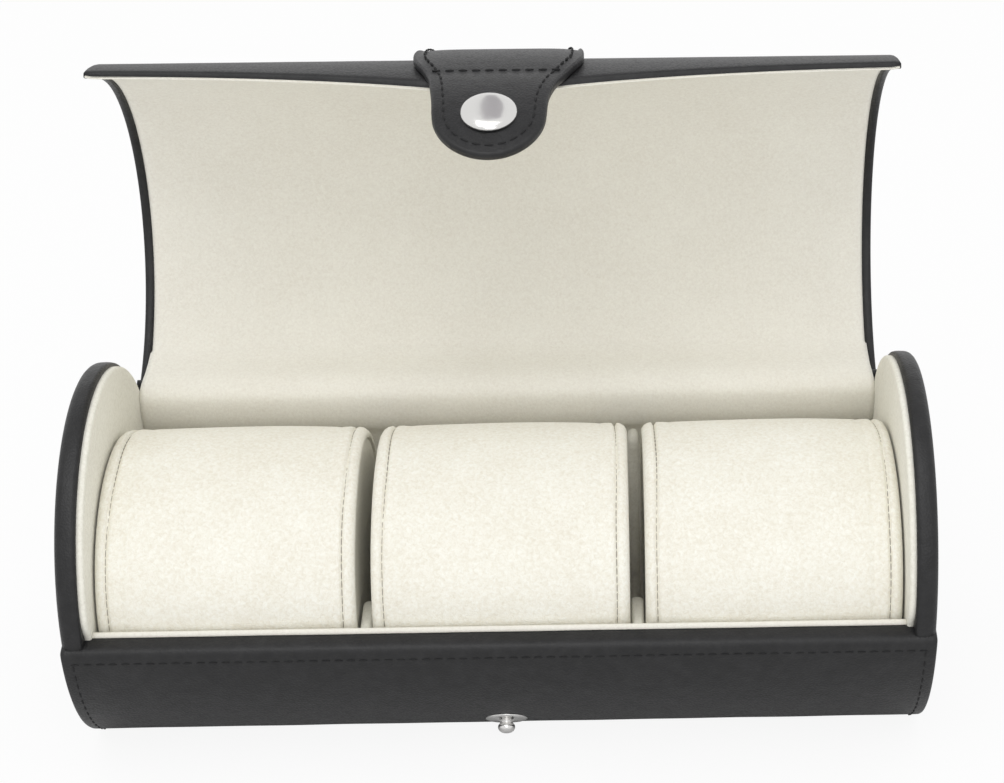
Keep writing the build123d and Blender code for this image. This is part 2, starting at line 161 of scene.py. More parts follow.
def pathNormals(points):
    # Unit normals of a profile, to the left of its direction.
    normals = []
    for i in range(len(points)):
        a, b = points[max(i - 1, 0)], points[min(i + 1, len(points) - 1)]
        dy, dz = b[0] - a[0], b[1] - a[1]
        size = math.hypot(dy, dz) or 1.0
        normals.append((-dz / size, dy / size))
    return normals


def addObject(name, data):
    item = bpy.data.objects.new(name, data)
    bpy.context.scene.collection.objects.link(item)
    return item


def makePiece(name, points, faces, material):
    mesh = bpy.data.meshes.new(name)
    mesh.from_pydata(points, [], faces)
    work = bmesh.new()
    work.from_mesh(mesh)
    bmesh.ops.remove_doubles(work, verts=work.verts, dist=1e-7)
    bmesh.ops.recalc_face_normals(work, faces=work.faces)
    work.to_mesh(mesh)
    work.free()
    mesh.polygons.foreach_set("use_smooth", [True] * len(mesh.polygons))
    mesh.materials.append(material)
    return addObject(name, mesh)


def gridFaces(rows, columns, start=0, closed=False):
    faces = []
    for r in range(rows - 1):
        for c in range(columns if closed else columns - 1):
            a = start + r * columns + c
            b = start + r * columns + (c + 1) % columns
            faces.append((a, b, b + columns, a + columns))
    return faces


def gridEdge(rows, columns):
    # The numbers of a grid's points, once round its border.
    edge = list(range(columns)) + [r * columns + columns - 1 for r in range(1, rows)]
    edge += [(rows - 1) * columns + c for c in range(columns - 2, -1, -1)]
    return edge + [r * columns for r in range(rows - 2, 0, -1)]


def shellPiece(name, outer, inner, material):
    # A closed slab between two equal grids of points.
    rows, columns = len(outer), len(outer[0])
    points = [p for row in outer for p in row] + [p for row in inner for p in row]
    back = rows * columns
    faces = gridFaces(rows, columns)
    faces += [tuple(reversed(f)) for f in gridFaces(rows, columns, back)]
    edge = gridEdge(rows, columns)
    faces += [(b, a, a + back, b + back) for a, b in zip(edge, edge[1:] + edge[:1])]
    return makePiece(name, points, faces, material)


def wrappedPiece(name, spot, across, along, top, rims, material):
    # A sheet laid as a grid, wrapped over its edge and closed underneath. The top and
    # each rim are the last arguments of spot(u, v, ...), which gives a point.
    rows, columns = len(along), len(across)
    points = [spot(u, v, *top) for v in along for u in across]
    faces = gridFaces(rows, columns)
    edge = gridEdge(rows, columns)
    loop = [(across[i % columns], along[i // columns]) for i in edge]
    for rim in rims:
        here = list(range(len(points), len(points) + len(loop)))
        points += [spot(u, v, *rim) for u, v in loop]
        for i in range(len(loop)):
            j = (i + 1) % len(loop)
            faces.append((edge[i], edge[j], here[j], here[i]))
        edge = here
    faces += [tuple(reversed(f)) for f in gridFaces(rows, columns, len(points))]
    points += [spot(u, v, *rims[-1]) for v in along for u in across]
    return makePiece(name, points, faces, material)


def ringPiece(name, rings, material):
    # Closed rings with the same count of points, joined in order and capped.
    columns = len(rings[0])
    points = [p for ring in rings for p in ring]
    last = (len(rings) - 1) * columns
    points += [sum(rings[0], Vector()) / columns, sum(rings[-1], Vector()) / columns]
    startPole, endPole = len(points) - 2, len(points) - 1
    faces = gridFaces(len(rings), columns, closed=True)
    faces += [(startPole, (c + 1) % columns, c) for c in range(columns)]
    faces += [(endPole, last + c, last + (c + 1) % columns) for c in range(columns)]
    return makePiece(name, points, faces, material)


def turnedPiece(name, profile, origin, axis, material, segments):
    # A profile of (radius, height) in mm, turned about an axis.
    axis = axis.normalized()
    side = Vector((1, 0, 0))
    other = axis.cross(side)
    around = [2 * math.pi * i / segments for i in range(segments)]
    rings = []
    for radius, height in profile:
        rings.append([
            origin + axis * height * mm + (side * math.cos(a) + other * math.sin(a)) * radius * mm
            for a in around])
    return ringPiece(name, rings, material)


def toLinear(code):
    values = [int(code[i:i + 2], 16) / 255 for i in (1, 3, 5)]
    return [v / 12.92 if v <= 0.04045 else ((v + 0.055) / 1.055) ** 2.4 for v in values] + [1.0]


def addNode(tree, kind, settings=(), links=()):
    # Numbered and named inputs are set, other settings are the node's own. The stops of
    # a colour ramp are (position, colour).
    node = tree.nodes.new(kind)
    for key, value in dict(settings).items():
        if key == "stops":
            elements = node.color_ramp.elements
            while len(elements) < len(value):
                elements.new(0.5)
            for element, (position, colour) in zip(elements, value):
                element.position = position
                element.color = toLinear(colour)
        elif isinstance(key, int) or key in node.inputs:
            node.inputs[key].default_value = value
        else:
            setattr(node, key, value)
    for socket, source in dict(links).items():
        tree.links.new(source, node.inputs[socket])
    return node


def newMaterial(name):
    material = bpy.data.materials.new(name)
    material.use_nodes = True
    tree = material.node_tree
    return material, tree, tree.nodes["Principled BSDF"]


leatherLook = {
    "face": "#1F1F20", "worn": "#272728", "deep": "#19191A",
    "grain": 0.55,      # mm between the pressed pebbles
    "crease": 7.0,      # mm, soft unevenness of the wrapped board
    "mottle": 3.0,      # mm, where the coating is rubbed
    "roughness": 0.40, "height": 0.10,
}


def makeLeather(name, look):
    # Coated split leather, pressed with a fine pebble grain: dark grey, a soft broad
    # highlight that the grain breaks up, and paler and darker patches at random, as of rubbed coating.
    material, tree, shader = newMaterial(name)
    where = addNode(tree, "ShaderNodeTexCoord").outputs["Object"]
    noise = {}
    for label, size, detail in (
            ("warp", look["grain"] * 3, 2.0), ("pores", look["grain"] * 0.4, 3.0),
            ("broad", look["crease"], 2.0), ("mottle", look["mottle"], 5.0)):
        noise[label] = addNode(tree, "ShaderNodeTexNoise", {"Scale": 1 / (size * mm), "Detail": detail},
                               {"Vector": where})
    noise["mottle"].inputs["Roughness"].default_value = 0.6
    shifted = addNode(tree, "ShaderNodeVectorMath",
                      {"operation": "MULTIPLY_ADD", 1: (look["grain"] * 0.6 * mm,) * 3},
                      {0: noise["warp"].outputs["Color"], 2: where})
    pebbles = addNode(tree, "ShaderNodeTexVoronoi",
                      {"Scale": 1 / (look["grain"] * mm), "Randomness": 1.0},
                      {"Vector": shifted.outputs[0]}).outputs["Distance"]
    stops = [(0.30, look["deep"]), (0.52, look["face"]), (0.78, look["worn"])]
    colour = addNode(tree, "ShaderNodeValToRGB", {"stops": stops},
                     {"Fac": noise["mottle"].outputs["Fac"]})
    tree.links.new(colour.outputs["Color"], shader.inputs["Base Color"])
    rough = addNode(tree, "ShaderNodeMapRange",
                    {"To Min": look["roughness"] - 0.06, "To Max": look["roughness"] + 0.1},
                    {"Value": pebbles})
    tree.links.new(rough.outputs["Result"], shader.inputs["Roughness"])
    waves = addNode(tree, "ShaderNodeBump", {"Strength": 0.35, "Distance": 0.6 * mm},
                    {"Height": noise["broad"].outputs["Fac"]})
    fine = addNode(tree, "ShaderNodeBump", {"Strength": 0.25, "Distance": look["height"] * 0.5 * mm},
                   {"Height": noise["pores"].outputs["Fac"], "Normal": waves.outputs["Normal"]})
    grain = addNode(tree, "ShaderNodeBump",
                    {"Strength": 0.55, "Distance": look["height"] * mm, "invert": True},
                    {"Height": pebbles, "Normal": fine.outputs["Normal"]})
    tree.links.new(grain.outputs["Normal"], shader.inputs["Normal"])
    shader.inputs["IOR"].default_value = 1.48
    shader.inputs["Specular IOR Level"].default_value = 0.36
    return material


# nap, pile and cloud are mm: tufts, single fibres and the patches the pile lies in
velvetLook = {
    "dark": "#E6E1D2", "face": "#EFECE0", "light": "#F6F5EC", "nap": 0.85, "pile": 0.35,
    "cloud": 12.0, "cloudShare": 0.2, "depth": 0.34, "sheen": 0.12,
}
liningLook = dict(velvetLook, dark="#E3DFD4", face="#E9E6DC", light="#EEECE2",
                  nap=0.7, cloud=16.0, depth=0.2)
panelLook = dict(velvetLook, dark="#E0DDD1", face="#E9E7DC", light="#F0EEE4", depth=0.18)


def makeVelvet(name, look):
    # Short-pile velour: a nap of fine fibres that lies in patches, so it is soft and
    # bright at grazing angles and slightly mottled, with no weave showing.
    material, tree, shader = newMaterial(name)
    where = addNode(tree, "ShaderNodeTexCoord").outputs["Object"]
    noise = {}
    for label, detail in (("nap", 4.0), ("pile", 2.0), ("cloud", 3.0)):
        noise[label] = addNode(tree, "ShaderNodeTexNoise",
                               {"Scale": 1 / (look[label] * mm), "Detail": detail}, {"Vector": where})
    noise["nap"].inputs["Roughness"].default_value = 0.65
    noise["nap"].inputs["Distortion"].default_value = 0.6
    tufts = addNode(tree, "ShaderNodeMath", {"operation": "MULTIPLY", 1: 1 - look["cloudShare"]},
                    {0: noise["nap"].outputs["Fac"]})
    both = addNode(tree, "ShaderNodeMath", {"operation": "MULTIPLY_ADD", 1: look["cloudShare"]},
                   {0: noise["cloud"].outputs["Fac"], 2: tufts.outputs[0]})
    stops = [(0.34, look["dark"]), (0.5, look["face"]), (0.66, look["light"])]
    colour = addNode(tree, "ShaderNodeValToRGB", {"stops": stops}, {"Fac": both.outputs[0]})
    tree.links.new(colour.outputs["Color"], shader.inputs["Base Color"])
    soft = addNode(tree, "ShaderNodeBump", {"Strength": 0.5, "Distance": look["depth"] * mm},
                   {"Height": noise["nap"].outputs["Fac"]})
    fuzz = addNode(tree, "ShaderNodeBump", {"Strength": 0.6, "Distance": look["depth"] * 0.45 * mm},
                   {"Height": noise["pile"].outputs["Fac"], "Normal": soft.outputs["Normal"]})
    tree.links.new(fuzz.outputs["Normal"], shader.inputs["Normal"])
    shader.inputs["Roughness"].default_value = 0.92
    shader.inputs["Specular IOR Level"].default_value = 0.15
    shader.inputs["Sheen Weight"].default_value = look["sheen"]
    shader.inputs["Sheen Roughness"].default_value = 0.45
    return material


def makeMetal(name, face, roughness):
    # Nickel-plated brass, pressed and tumbled: bright, with faint handling haze.
    material, tree, shader = newMaterial(name)
    where = addNode(tree, "ShaderNodeTexCoord").outputs["Object"]
    haze = addNode(tree, "ShaderNodeTexNoise", {"Scale": 1 / (1.6 * mm), "Detail": 4.0}, {"Vector": where})
    rough = addNode(tree, "ShaderNodeMapRange", {"To Min": roughness - 0.04, "To Max": roughness + 0.08},
                    {"Value": haze.outputs["Fac"]})
    tree.links.new(rough.outputs["Result"], shader.inputs["Roughness"])
    shader.inputs["Base Color"].default_value = toLinear(face)
    shader.inputs["Metallic"].default_value = 1.0
    return material


def makeThread(name, face, worn):
    # Waxed polyester thread: its plies show as fine changes across each stitch.
    material, tree, shader = newMaterial(name)
    where = addNode(tree, "ShaderNodeTexCoord").outputs["Object"]
    plies = addNode(tree, "ShaderNodeTexNoise", {"Scale": 1 / (0.15 * mm), "Detail": 2.0},
                    {"Vector": where})
    bump = addNode(tree, "ShaderNodeBump", {"Strength": 0.5, "Distance": 0.04 * mm},
                   {"Height": plies.outputs["Fac"]})
    tree.links.new(bump.outputs["Normal"], shader.inputs["Normal"])
    colour = addNode(tree, "ShaderNodeValToRGB", {"stops": [(0.3, face), (0.75, worn)]},
                     {"Fac": plies.outputs["Fac"]})
    tree.links.new(colour.outputs["Color"], shader.inputs["Base Color"])
    shader.inputs["Roughness"].default_value = 0.8
    return material


def makeBoard(name, face, fleck):
    # Pressed grey board: matt, with short fibres.
    material, tree, shader = newMaterial(name)
    where = addNode(tree, "ShaderNodeTexCoord").outputs["Object"]
    fibre = addNode(tree, "ShaderNodeTexNoise", {"Scale": 1 / (0.8 * mm), "Detail": 6.0},
                    {"Vector": where})
    colour = addNode(tree, "ShaderNodeValToRGB", {"stops": [(0.3, face), (0.7, fleck)]},
                     {"Fac": fibre.outputs["Fac"]})
    tree.links.new(colour.outputs["Color"], shader.inputs["Base Color"])
    shader.inputs["Roughness"].default_value = 0.95
    return material


leather = makeLeather("coatedLeather", leatherLook)
velvet = makeVelvet("creamVelour", velvetLook)
liningVelvet = makeVelvet("liningVelour", liningLook)
panelVelvet = makeVelvet("endVelour", panelLook)
nickel = makeMetal("nickelPlate", "#D9D8D6", 0.16)
leatherThread = makeThread("blackThread", "#0B0B0C", "#19191A")
# The pillow seams are sewn, but this thread's grey, darker than the velour, is painted shade of the seam
# groove.
seamShadeThread = makeThread("greyThreadGrooveShade", "#857F76", "#A39D92")
board = makeBoard("greyBoard", "#7A7162", "#8E8473")
print("materials made")


def dress(names, material):
    for name in names:
        mesh = nodes[name].data
        mesh.materials.clear()
        mesh.materials.append(material)


pillowNames = ("left", "middle", "right")
dress(["base_board", "end_board_left", "end_board_right"], board)
dress(["snap_socket", "snap_spring", "stud_washer"], nickel)
dress(["pillow_" + name + "_core" for name in pillowNames], panelVelvet)

# The tray's leather is one sheet from the ledge, round the front and bottom, up the back.
trayLeather = {
    "thickness": 0.9, "fold": 1.3, "flatCorner": 5.0, "ledgeRise": 0.78, "ledgeDepth": 4.6,
    "rearEnd": 27.7, "waviness": 0.04,
    # its turned edge: (mm in from the end, mm under the face)
    "edge": ((0.0, 0.86), (-0.02, 0.5), (0.12, 0.2), (0.45, 0.03)), "edgeWidth": 1.2,
}


def buildTrayLeather():
    size = trayLeather
    radius, under, reach = case["coverRadius"], -case["axisHeight"], case["reach"]
    flatTurn = math.degrees(math.asin(case["axisHeight"] / radius))
    slope = size["ledgeRise"] / size["ledgeDepth"]
    path = [(size["ledgeDepth"] + 0.3 - radius, size["ledgeRise"] - 0.5)]
    path += [(t - radius, t * slope) for t in (size["ledgeDepth"], 3.6, 2.6, 1.9)]
    path += [(size["fold"] * 0.62 - radius, -0.02), (size["fold"] * 0.16 - radius, -size["fold"] * 0.40)]
    path += arc(radius, 182.2, 180 + flatTurn - size["flatCorner"], 44)
    corner = polar(radius, 180 + flatTurn)[0]
    path += [(corner + 1.6, under + 0.10)]
    path += [(y, under) for y in spread(corner + 4, -corner - 4, 13)]
    path += [(-corner - 1.6, under + 0.10)]
    path += arc(radius, size["flatCorner"] - flatTurn, size["rearEnd"], 52)
    normals = pathNormals(path)     # these point into the wall
    rows = [(away - reach, drop) for away, drop in size["edge"]]
    rows += [(x, 0.0) for x in spread(size["edgeWidth"] - reach, reach - size["edgeWidth"], 90)]
    rows += [(reach - away, drop) for away, drop in reversed(size["edge"])]
    outer, inner = [], []
    for x, drop in rows:
        wave = size["waviness"] * math.sin(x * 0.21) * math.sin(x * 0.057 + 1.0)
        lifts = [drop + (0 if abs(z - under) < 2 else wave) for y, z in path]
        outer.append([place(x, offset(p, n, lift)) for p, n, lift in zip(path, normals, lifts)])
        inner.append([place(x, offset(p, n, size["thickness"])) for p, n in zip(path, normals)])
    piece = shellPiece("trayLeather", outer, inner, leather)
    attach(piece, "tray")
    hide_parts("base_cover")


buildTrayLeather()

# The round ends are leather-wrapped board with a velour disc inside.
roundEnd = {
    "edge": 2.0, "puff": 0.25, "turnIn": 6.0, "flatTrim": 0.9, "discGap": 1.0, "discEdge": 0.7,
    "frontLap": 2.2, "steps": 144,
    "cornerPower": 40,      # higher is a tighter corner where the round meets the flat
}


def rimPoints(radius):
    # Points round an end at a radius, cut level below.
    flat = case["axisHeight"] - roundEnd["flatTrim"] - (case["endRadius"] - radius)
    power = roundEnd["cornerPower"]
    spots = []
    for i in range(roundEnd["steps"]):
        y, z = polar(1, 360 * i / roundEnd["steps"])
        level = flat / -z if z < -1e-6 else 1e9
        reach = (radius ** -power + level ** -power) ** (-1 / power)
        spots.append((reach * y, reach * z))
    return spots


def buildEndLeather(side, name):
    size = roundEnd
    outerX, innerX = case["halfLength"], case["endInner"]
    radius, edge = case["endRadius"], size["edge"]
    stations = [(outerX + size["puff"], radius * 0.3), (outerX + size["puff"] * 0.44, radius * 0.7),
                (outerX - 0.05, radius - edge * 1.9), (outerX - 0.12, radius - edge * 1.2)]
    stations += [(outerX - drop, radius - inset) for inset, drop in quarter(edge, (20, 38, 55, 72, 90))]
    stations += [(outerX - 3.0, radius + 0.04), (innerX + 1.1, radius), (innerX + 0.5, radius - 0.12),
                 (innerX + 0.12, radius - 0.45), (innerX, radius - 0.95),
                 (innerX, radius - size["turnIn"]), (innerX + 0.9, radius - size["turnIn"])]
    rings = [[place(side * x, p) for p in rimPoints(r)] for x, r in stations]
    piece = ringPiece("endLeather_" + name, rings, leather)
    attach(piece, "tray")
    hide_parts("end_cover_" + name)


def buildEndLining(side, name):
    size = roundEnd
    discX, radius, edge = case["trayHalf"], case["endRadius"] - size["discGap"], size["discEdge"]
    stations = [(discX - 0.05, radius * 0.4), (discX - 0.02, radius * 0.75), (discX, radius - edge * 2.2)]
    stations += [(discX + drop, radius - inset) for inset, drop in quarter(edge, (15, 35, 55, 75, 90))]
    stations += [(case["endInner"] - 0.02, radius)]
    rings = []
    for x, r in stations:
        ring = []
        for y, z in rimPoints(r):
            # the ledge's leather laps the disc's front corner
            lap = size["frontLap"] / radius * bell(z, 4) * (r / radius) ** 6 if y < 0 else 0
            ring.append(place(side * x, (y * (1 - lap), z * (1 - lap))))
        rings.append(ring)
    piece = ringPiece("endLining_" + name, rings, panelVelvet)
    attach(piece, "tray")
    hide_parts("end_lining_" + name)


for side, name in ((-1, "left"), (1, "right")):
    buildEndLeather(side, name)
    buildEndLining(side, name)
print("tray leather and round ends made")

# The lid is drawn closed, then swung open about the crease.
lid = {
    "halfLength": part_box("lid_board")[1].x / mm + 0.9, "innerRadius": case["coverRadius"] + 0.3,
    "thickness": 3.4, "hingeGap": 5.5, "hingeAngle": 30.0, "cornerLap": 8.0,
    "frontBow": 8.7, "bowSag": 1.4, "strapHalf": 13.9, "turnIn": 2.2,
    "skive": 0.5, "skiveWidth": 14.0,   # the board thins to half over its last 14 mm at the front
    "leather": 0.9, "boardInset": 0.95,
}
lid["outerRadius"] = lid["innerRadius"] + lid["thickness"]
lid["cornerDrop"] = lid["outerRadius"] * math.sin(math.radians(lid["cornerLap"]))


def frontDrop(x):
    # How far the lid's front edge hangs below the axis, closed, at x.
    away = max(abs(x) - lid["strapHalf"], 0) / (lid["halfLength"] - lid["strapHalf"])
    return (lid["cornerDrop"] + lid["frontBow"] * (1 - away)
            - 4 * lid["bowSag"] * away * (1 - away))


def frontAngle(x, radius, inset=0):
    return 180 + math.degrees(math.asin(frontDrop(x) / radius) - inset / radius)


def lidSpot(x, radius, angle):
    outer = lid["outerRadius"]
    gap = math.radians(frontAngle(x, outer) - angle) * outer
    thin = 1 - lid["skive"] * easeStep(1 - gap / lid["skiveWidth"])
    if radius < outer:
        radius = outer - (outer - radius) * thin
    return place(x, opened(polar(radius, angle)))


def lidPoint(u, v, inset, radius):
    # u runs -1 to 1 across, v 0 at the hinge to 1 at the front edge.
    x = u * (lid["halfLength"] - inset)
    rear = lid["hingeAngle"] + math.degrees(math.asin((lid["hingeGap"] + inset) / radius))
    return lidSpot(x, radius, rear + v * (frontAngle(x, radius, inset) - rear))


def buildLidLeather():
    outer, inner, turnIn = lid["outerRadius"], lid["innerRadius"], lid["turnIn"]
    rims = [(0.55, outer - 0.10), (0.2, outer - 0.38), (0.03, outer - 0.85), (0.0, outer - 1.5),
            (0.0, inner + 0.9), (0.08, inner + 0.45), (0.3, inner + 0.14), (0.7, inner),
            (turnIn, inner), (turnIn + 0.3, inner + 0.5)]
    piece = wrappedPiece("lidLeather", lidPoint, spread(-1, 1, 121), spread(0, 1, 70),
                         (1.1, outer), rims, leather)
    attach(piece, "lid")
    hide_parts("lid_cover")


def buildLidBoard():
    grids = []
    for radius in (lid["outerRadius"] - lid["leather"], lid["innerRadius"] + lid["leather"]):
        grids.append([[lidPoint(u, v, lid["boardInset"], radius) for u in spread(-1, 1, 61)]
                      for v in spread(0, 1, 60)])
    piece = shellPiece("lidBoard", grids[0], grids[1], board)
    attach(piece, "lid")
    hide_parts("lid_board")


buildLidLeather()
buildLidBoard()


# The hinge's leather folds into the crease behind the case.
crease = {
    "thickness": 0.45, "proud": 0.18, "lidProud": 0.12, "half": 92.3, "lidInset": 1.0,
    "wallAngles": (21.0, 22.5, 24.0, 25.5, 26.6, 27.4), "lidAngles": (0, 1.2, 2.4, 3.6, 4.6),
    # the fold, (y, z) from the hinge line
    "fold": ((3.45, 0.30), (4.2, 0.72), (5.0, 0.25), (5.55, -0.9), (6.05, -2.6), (6.55, -4.3)),
    "blendWay": (0, 0.90, 0.43), "blendStart": 3.3, "blendEnd": 3.95,
}


def buildCrease():
    size = crease
    lidRadius = lid["outerRadius"] + size["lidProud"]
    rear = lid["hingeAngle"] + math.degrees(math.asin((lid["hingeGap"] + size["lidInset"]) / lidRadius))
    corners = [polar(case["coverRadius"] + size["proud"], angle) for angle in size["wallAngles"]]
    corners += [offset(case["hinge"], away, 1) for away in size["fold"]]
    corners += [opened(polar(lidRadius, rear + angle)) for angle in size["lidAngles"]]
    path = smoothPath(corners, 0.3)
    back = [offset(p, n, size["thickness"]) for p, n in zip(path, pathNormals(path))]
    across = spread(-size["half"], size["half"], 70)
    outer, inner = [[[place(x, p) for p in line] for x in across] for line in (path, back)]
    piece = shellPiece("hingeLeather", outer, inner, leather)
    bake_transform(piece)
    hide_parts("hinge_strip")


buildCrease()

# The lining is one cloth from the front lip, over the floor and the crease, to the lid's rim.
lining = {
    "thickness": 0.55, "lidProud": 0.22, "lidInset": 2.0, "cornerInset": 0.35,
    "columns": 140, "lidRows": 120,
    # the lip behind the ledge: (mm behind the trough's front, mm above the axis)
    "lip": ((-1.35, 0.45), (-1.3, 1.15), (-0.95, 1.63), (-0.55, 1.75), (-0.15, 1.55), (0, 0.9)),
    # (y, z) from the hinge line: it leaves the wall, stands up and crosses to the lid
    "over": ((0.9, -13.2), (-0.9, -10.4), (-1.7, -7.4), (-1.9, -4.4), (-1.8, -2.4), (-1.45, -1.0),
             (-0.6, 0.15), (1.2, 1.35), (4.0, 2.15), (7.5, 2.45), (11.0, 2.75)),
    "bridge": 15.0,     # mm over which it spans the inside of the hinge
    # at the lid's rim: (mm in from its edge, share of the lap)
    "curl": ((1.3, 0.0), (0.5, 0.03), (0.02, 0.16), (-0.24, 0.45), (-0.30, 0.75), (-0.22, 1.0)),
    "frontLap": 1.1,    # mm of the lid's rim that the cloth covers
    "sideTuck": {0: 0.62, 1: 0.12},     # mm that its outermost columns are pressed in
    "blendWay": (0, 0.958, 0.287), "blendStart": -1.4, "blendEnd": 3.4,
}


def liningTrayRows():
    size = lining
    radius, flat, foot = case["troughRadius"], case["floor"], case["foot"]
    hingeY, hingeZ = case["hinge"]
    path = [(y - radius, z) for y, z in size["lip"]]
    path += arc(radius, 180.6, 180 + case["footAngle"] - 5, 34)
    path += [(y, -flat) for y in [3 - foot] + spread(5 - foot, foot - 5, 16) + [foot - 3]]
    back = arc(radius, 5 - case["footAngle"], 4.0, 36)
    over = [offset(case["hinge"], away, 1) for away in size["over"]]
    path += back[:-2] + smoothPath(back[-2:] + over, 0.5)
    rows = []
    for y, z in path:
        widen = easeStep((y - hingeY + 2) / 8) if z > hingeZ - 2 and y > 0 else 0
        half = case["trayHalf"] - 0.02 + widen * (lid["halfLength"] - size["lidInset"] - case["trayHalf"])
        rows.append([place(x, (y, z)) for x in spread(-half, half, size["columns"])])
    return rows


def liningLidRows():
    size = lining
    radius, steps, columns = lid["innerRadius"] - size["lidProud"], size["lidRows"], size["columns"]
    # where the bridging cloth meets the lid's curve
    joinY = case["hinge"][0] + size["bridge"] - opened((0, 0))[0]
    joinAngle = case["openAngle"] - math.degrees(math.acos(joinY / radius))
    rows = []
    for k in range(1, steps + len(size["curl"])):
        inset, share = size["curl"][max(k - steps, 0)]
        corner = easeStep((k / steps - 0.90) / 0.08)
        half = lid["halfLength"] - size["lidInset"] * (1 - corner) - size["cornerInset"] * corner
        row = []
        for i, x in enumerate(spread(-half, half, columns)):
            last = frontAngle(x, radius, inset)
            angle = joinAngle + (last - joinAngle) * min((k - 1) / (steps - 1), 1)
            tuck = size["sideTuck"].get(min(i, columns - 1 - i), 0.0) + share * size["frontLap"]
            row.append(lidSpot(x, radius + tuck, angle))
        rows.append(row)
    return rows


def buildLining():
    rows = liningTrayRows() + liningLidRows()
    backRows = []
    for r, row in enumerate(rows):
        before, after = rows[max(r - 1, 0)], rows[min(r + 1, len(rows) - 1)]
        normals = [Vector((1, 0, 0)).cross((q - p).normalized()) for p, q in zip(before, after)]
        backRows.append([p - n * lining["thickness"] * mm for p, n in zip(row, normals)])
    piece = shellPiece("lining", rows, backRows, liningVelvet)
    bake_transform(piece)
    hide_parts("base_lining", "lid_lining", "hinge_leaf")


buildLining()
print("lid, hinge and lining made")

# The dividers are velour-covered ribs across the trough, tall at the front.
divider = {
    "halfWidth": 1.55, "height": 3.2, "frontRise": 13.5, "frontAngle": 181.0, "fallTo": 216.0,
    "rearAngle": 12.0, "under": 0.4, "steps": 20,
}


def dividerLift(up, tall):
    # Height over the trough's floor where the section's outline is at up, -1 to 1.
    if up <= 0:
        return divider["under"] * up
    wide = divider["halfWidth"]
    return (tall - wide) * min(up * 3.2, 1) + wide * up


def buildDivider(name):
    size = divider
    low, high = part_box("divider_" + name)
    middle = (low.x + high.x) / 2 / mm
    radius, foot = case["troughRadius"], case["foot"]
    path = arc(radius, size["frontAngle"], 180 + case["footAngle"] - 4, 30)
    path += [(y, -case["floor"]) for y in spread(4 - foot, foot - 4, 10)]
    path += arc(radius, 4 - case["footAngle"], size["rearAngle"], 34)
    rings = []
    for i, (p, n) in enumerate(zip(path, pathNormals(path))):
        end = min(i, len(path) - 1 - i)
        grow = math.sqrt(1 - (1 - min(end / 4, 1)) ** 2)
        angle = math.degrees(math.atan2(-p[1], -p[0])) + 180 if p[0] < 0 else 360
        fall = easeStep((angle - size["frontAngle"]) / (size["fallTo"] - size["frontAngle"]))
        tall = (size["height"] + size["frontRise"] * (1 - fall)) * (0.25 + 0.75 * grow)
        ring = []
        for k in range(size["steps"]):
            aside, up = polar(1, 360 * k / size["steps"])
            x = middle + size["halfWidth"] * aside * (0.45 + 0.55 * grow)
            ring.append(place(x, offset(p, n, dividerLift(up, tall))))
        rings.append(ring)
    piece = ringPiece("dividerVelour_" + name, rings, panelVelvet)
    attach(piece, "tray")
    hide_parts("divider_" + name)


buildDivider("left")
buildDivider("right")

# The pillows are velour sleeves over foam, stitched beside each end.
pillow = {
    "sideRadius": 28.0, "edgeRadius": 2.2, "crownFall": 0.75, "crownPower": 2.4, "steps": 176,
    "seam": 2.9, "seamDepth": 0.75, "seamWidth": 0.34, "seamDrift": 0.2,
    # swellings beside the seam: (mm from it, height, width)
    "puffs": ((1.0, 0.20, 0.7), (-1.2, 0.14, 0.8)),
    "ridge": 6.6, "ridgeDepth": 0.22, "ridgeWidth": 0.6, "ridgePuff": (1.3, 0.10, 0.9),
    "softness": 0.10,
    # past its rounded edge: (mm in from the end, mm under the edge)
    "turnIn": ((0.25, 0.35), (1.7, 0.55)),
    # the side panel: (mm under the sleeve's edge, mm in from the end), then shares of its height
    "panel": ((0.3, 1.9), (0.35, 0.9), (0.9, 0.55), (3.0, 0.42), (9.0, 0.5)),
    "panelMiddle": ((0.6, 0.62), (0.85, 0.65)),
}


def seamShift(side, phase):
    # The seam wanders a little, as hand-guided sewing does.
    slow, quick = math.sin(2 * phase + side * 1.3), math.sin(5 * phase + side * 2.1 + 0.6)
    return pillow["seamDrift"] * (slow + 0.5 * quick)


def ovalPath(halfDepth, halfHeight):
    # Two side arcs and two crown arcs that meet smoothly, as (point, normal).
    side = pillow["sideRadius"]
    away = halfDepth - side
    crown = (away ** 2 + halfHeight ** 2 - side ** 2) / (halfHeight - side) / 2
    drop = crown - halfHeight
    turn = math.degrees(math.atan2(drop, away))
    spots = []
    for centre, radius, start, sweep in (
            ((away, 0), side, -turn, 2 * turn), ((0, -drop), crown, turn, 180 - 2 * turn),
            ((-away, 0), side, 180 - turn, 2 * turn), ((0, drop), crown, 180 + turn, 180 - 2 * turn)):
        count = max(4, round(pillow["steps"] * sweep / 360))
        for i in range(count):
            normal = polar(1, start + sweep * i / count)
            spots.append((offset(centre, normal, radius), normal))
    return spots


def pillowForm(name):
    # The middle of a pillow, half its size and its section.
    low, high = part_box("pillow_" + name + "_sleeve")
    middle, half = (low + high) / 2 / mm, (high - low) / 2 / mm
    return middle, half, ovalPath(half.y, half.z)


def pillowSpot(middle, x, point, normal, under):
    y, z = offset(point, normal, -under)
    return place(middle.x + x, (middle.y + y, middle.z - case["axisHeight"] + z))


